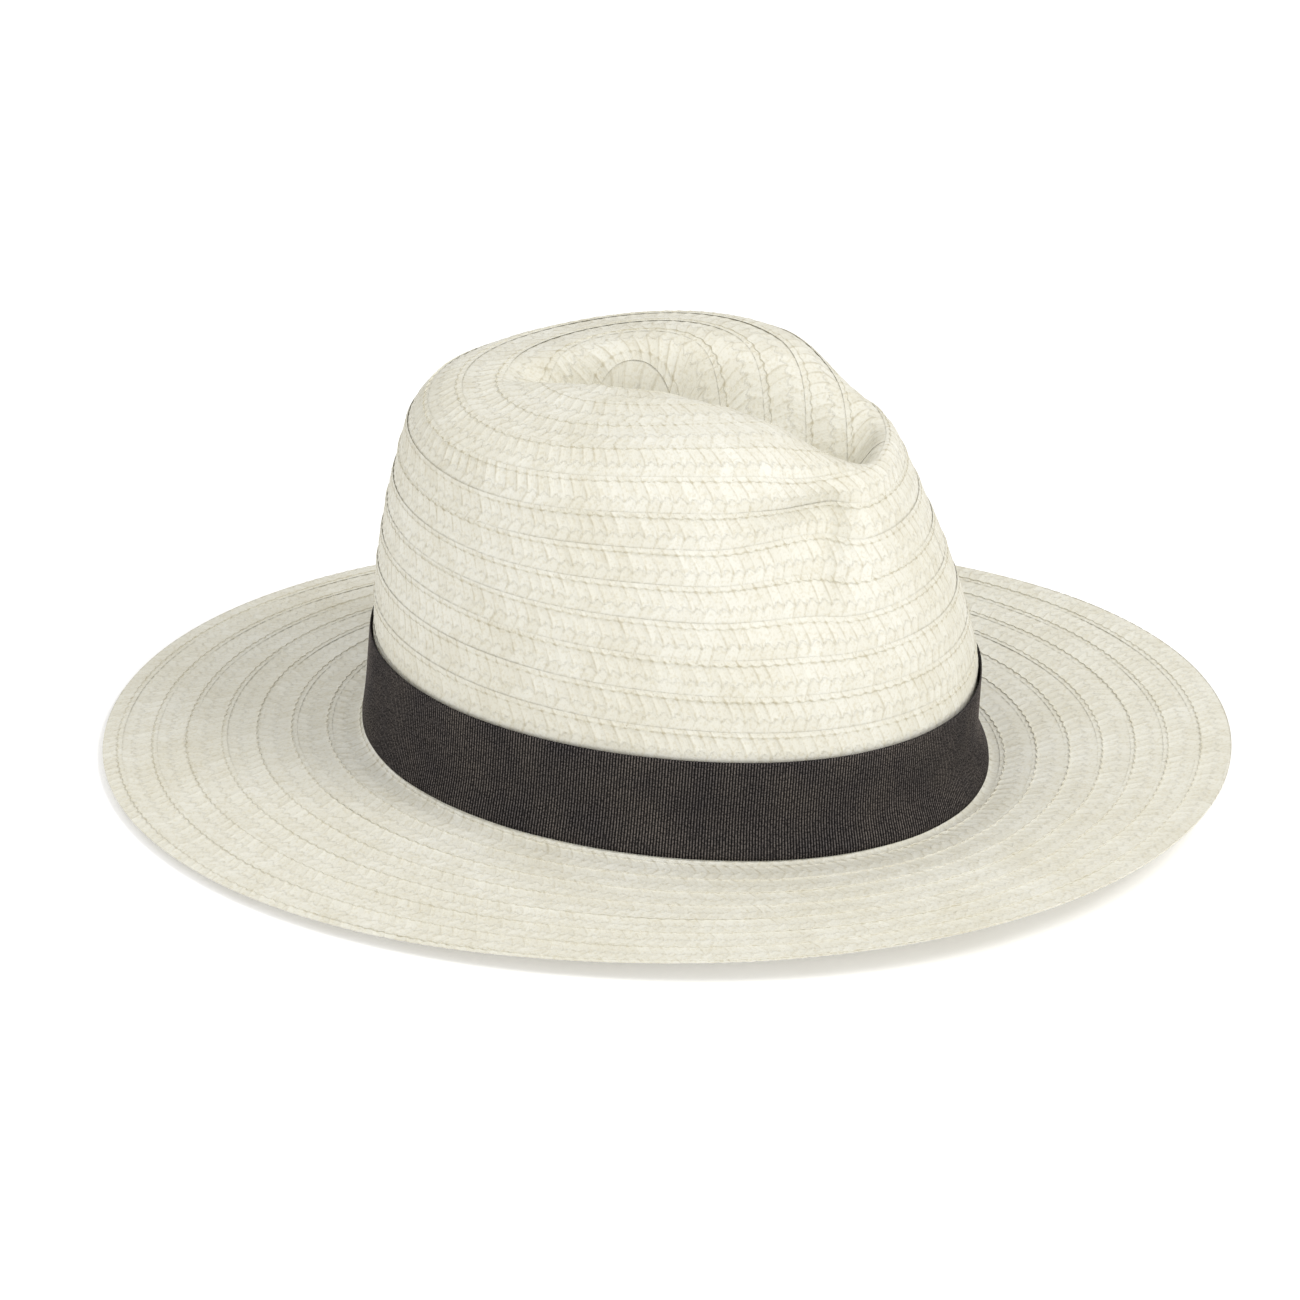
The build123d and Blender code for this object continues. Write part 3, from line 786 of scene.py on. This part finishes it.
def bump(nodes, links, height, distance, strength, below=None):
    """A bumped normal, on top of another one when that is given."""
    node = nodes.new("ShaderNodeBump")
    node.inputs["Distance"].default_value = distance
    node.inputs["Strength"].default_value = strength
    links.new(height, node.inputs["Height"])
    if below:
        links.new(below, node.inputs["Normal"])
    return node.outputs["Normal"]


def uneven_roughness(nodes, links, shader, low, high, scale, detail):
    """Roughness that varies from place to place."""
    rough = nodes.new("ShaderNodeMapRange")
    rough.inputs["To Min"].default_value = low
    rough.inputs["To Max"].default_value = high
    links.new(noise(nodes, links, scale, detail), rough.inputs["Value"])
    links.new(rough.outputs["Result"], shader.inputs["Roughness"])


def surface_vector(nodes, links, along_scale, across_scale, lengthwise="along"):
    """A vector from the braid's or ribbon's own length and width."""
    combine = nodes.new("ShaderNodeCombineXYZ")
    for name, scale, axis in ((lengthwise, along_scale, "X"), ("across", across_scale, "Y")):
        scaled = nodes.new("ShaderNodeMath")
        scaled.operation = "MULTIPLY"
        scaled.inputs[1].default_value = scale
        links.new(attribute(nodes, name), scaled.inputs[0])
        links.new(scaled.outputs["Value"], combine.inputs[axis])
    return combine.outputs["Vector"]


def straw_material():
    """Ivory twisted paper: strands that differ a little, with painted shade where they dive under, in the
    small holes and along the pressed line.
    """
    material, nodes, links, shader = new_material("straw_paper")
    white = (1.0, 1.0, 1.0)
    darkest_strand = (0.760, 0.742, 0.655)
    lightest_strand = (0.808, 0.797, 0.722)
    patch_shade = (0.95, 0.94, 0.91)
    painted_gap_shade = (0.66, 0.615, 0.51)
    fleck_shade = (0.90, 0.875, 0.815)
    strand = ramp(nodes, links, attribute(nodes, "tint"), darkest_strand, lightest_strand)
    patch = ramp(nodes, links, noise(nodes, links, 28.0, 3.0), patch_shade, white, 0.35, 0.65)
    colour = multiply(nodes, links, 1.0, strand, patch)
    # painted shade: the straw's colour darkens where the relief is low, in the gaps between strands, in the
    # holes and along the pressed line
    gap = ramp(nodes, links, attribute(nodes, "relief"), painted_gap_shade, white, 0.0, 0.48)
    colour = multiply(nodes, links, 0.8, colour, gap)
    fleck = ramp(nodes, links, noise(nodes, links, 900.0, 2.0), fleck_shade, white, 0.35, 0.5)
    colour = multiply(nodes, links, 0.8, colour, fleck)
    links.new(colour, shader.inputs["Base Color"])
    uneven_roughness(nodes, links, shader, 0.45, 0.75, 400.0, 2.0)
    shader.inputs["Specular IOR Level"].default_value = 0.3
    fibre = noise(nodes, links, 1.0, 3.0, surface_vector(nodes, links, 7.0, 3.0, "strand"))
    grain = noise(nodes, links, 1800.0, 2.0)
    normal = bump(nodes, links, fibre, 0.0003, 0.6)
    normal = bump(nodes, links, grain, 0.0001, 0.4, normal)
    links.new(normal, shader.inputs["Normal"])
    return material


def ribbon_material():
    """Black grosgrain: painted highlight on the crowns of the ribs and painted shade in the grooves,
    speckled by the thread, a little uneven, with painted light and shade of soft folds in random patches.
    """
    material, nodes, links, shader = new_material("ribbon_grosgrain")
    painted_groove_shade = (0.005, 0.005, 0.005)
    painted_rib_highlight = (0.165, 0.146, 0.137)
    # painted shade in the grooves and painted highlight on the crowns of the ribs
    ribs = ramp(nodes, links, attribute(nodes, "rib"), painted_groove_shade, painted_rib_highlight, 0.25, 1.0)
    speckle_field = noise(nodes, links, 1.0, 2.0, surface_vector(nodes, links, 1.6, 60.0))
    speckle = ramp(nodes, links, speckle_field, (0.25, 0.25, 0.26), (1.2, 1.2, 1.2), 0.38, 0.6)
    colour = multiply(nodes, links, 1.0, ribs, speckle)
    # painted light and shade of soft folds, as lighter and darker patches placed at random
    fold_light_field = noise(nodes, links, 60.0, 4.0)
    painted_fold_light = ramp(nodes, links, fold_light_field, (0.75, 0.75, 0.80), (1.15, 1.12, 1.08), 0.3, 0.7)
    colour = multiply(nodes, links, 1.0, colour, painted_fold_light)
    links.new(colour, shader.inputs["Base Color"])
    uneven_roughness(nodes, links, shader, 0.55, 0.85, 90.0, 3.0)
    shader.inputs["Specular IOR Level"].default_value = 0.06
    links.new(bump(nodes, links, speckle_field, 0.0002, 0.5), shader.inputs["Normal"])
    return material


def cotton_material(name, low, high):
    """Plain woven tape or thread."""
    material, nodes, links, shader = new_material(name)
    colour = ramp(nodes, links, noise(nodes, links, 500.0, 3.0), low, high, 0.3, 0.7)
    links.new(colour, shader.inputs["Base Color"])
    uneven_roughness(nodes, links, shader, 0.7, 0.9, 700.0, 2.0)
    shader.inputs["Sheen Weight"].default_value = 0.2
    links.new(bump(nodes, links, noise(nodes, links, 2500.0, 2.0), 0.0002, 0.5), shader.inputs["Normal"])
    return material


def floor_material():
    """White paper that glows a little, so that the background stays white."""
    material, nodes, links, shader = new_material("studio_floor")
    colour = ramp(nodes, links, noise(nodes, links, 2.0, 2.0), (0.93, 0.93, 0.93), (0.96, 0.96, 0.96))
    links.new(colour, shader.inputs["Base Color"])
    shader.inputs["Roughness"].default_value = 0.9
    shader.inputs["Specular IOR Level"].default_value = 0.1
    shader.inputs["Emission Color"].default_value = (1.0, 0.99, 1.0, 1)
    shader.inputs["Emission Strength"].default_value = 0.18
    return material


# ================= studio =================

CAMERA_AZIMUTH = math.radians(-83.7)      # from the front of the hat
CAMERA_ELEVATION = math.radians(25.8)
CAMERA_ROLL = math.radians(1.0)
CAMERA_DISTANCE = 2.935
CAMERA_LENS = 242.9
CAMERA_SENSOR = 36.0
AIM_RIGHT = -0.0062                        # where the camera aims, across and up its own view, in metres
AIM_UP = 0.0362


def add_camera():
    """The camera, placed from its direction, its roll and where it aims."""
    back = Vector((
        math.sin(CAMERA_AZIMUTH) * math.cos(CAMERA_ELEVATION),
        -math.cos(CAMERA_AZIMUTH) * math.cos(CAMERA_ELEVATION),
        math.sin(CAMERA_ELEVATION),
    ))
    right = Vector((math.cos(CAMERA_AZIMUTH), math.sin(CAMERA_AZIMUTH), 0))
    up = back.cross(right)
    rolled_right = right * math.cos(CAMERA_ROLL) + up * math.sin(CAMERA_ROLL)
    rolled_up = up * math.cos(CAMERA_ROLL) - right * math.sin(CAMERA_ROLL)
    place = back * CAMERA_DISTANCE + rolled_right * AIM_RIGHT + rolled_up * AIM_UP
    turn = Matrix((rolled_right, rolled_up, back)).transposed().to_4x4()
    data = bpy.data.cameras.new("camera")
    data.lens = CAMERA_LENS
    data.sensor_width = CAMERA_SENSOR
    data.clip_end = 20
    camera = bpy.data.objects.new("camera", data)
    camera.matrix_world = Matrix.Translation(place) @ turn
    bpy.context.scene.collection.objects.link(camera)
    bpy.context.scene.camera = camera


def add_area_light(name, place, aim, size, power, colour):
    """A rectangular lamp at a place in metres, turned toward its aim."""
    data = bpy.data.lights.new(name, "AREA")
    data.shape = "RECTANGLE"
    data.size, data.size_y = size
    data.energy = power
    data.color = colour
    light = bpy.data.objects.new(name, data)
    light.location = place
    light.rotation_euler = (Vector(aim) - Vector(place)).to_track_quat("-Z", "Y").to_euler()
    bpy.context.scene.collection.objects.link(light)


def add_studio():
    """White floor, a soft key from the front of the hat and an even fill."""
    half = 6.0
    corners = np.array([[-half, -half, 0], [half, -half, 0], [half, half, 0], [-half, half, 0]]) / MM
    floor = new_mesh("floor", corners - np.array([0, 0, 0.2]), np.array([[0, 1, 2, 3]]))
    floor.data.materials.append(floor_material())
    add_area_light("key", (-0.6, -1.75, 2.25), (0, 0, 0.05), (1.0, 1.0), 33, (1.0, 0.993, 0.98))
    add_area_light("front_fill", (-2.6, 0.2, 0.9), (0, 0, 0.08), (2.0, 1.4), 12, (1.0, 1.0, 1.0))
    add_area_light("top", (-0.4, 1.0, 2.4), (0, 0, 0.05), (2.4, 2.4), 9, (1.0, 1.0, 1.0))
    world = bpy.data.worlds.new("studio")
    world.use_nodes = True
    background = world.node_tree.nodes["Background"]
    background.inputs["Color"].default_value = (1.0, 0.993, 0.972, 1)
    background.inputs["Strength"].default_value = 0.68
    bpy.context.scene.world = world
    bpy.context.scene.view_settings.view_transform = "Standard"


# ================= the scene =================

straw_braid(straw_material())
hat_ribbon(ribbon_material())
inner_trim(
    cotton_material("sweatband_cotton", (0.66, 0.62, 0.52), (0.78, 0.75, 0.66)),
    cotton_material("label_satin", (0.80, 0.80, 0.78), (0.88, 0.88, 0.86)),
    cotton_material("thread_cotton", (0.72, 0.69, 0.60), (0.82, 0.79, 0.71)),
)
add_camera()
add_studio()
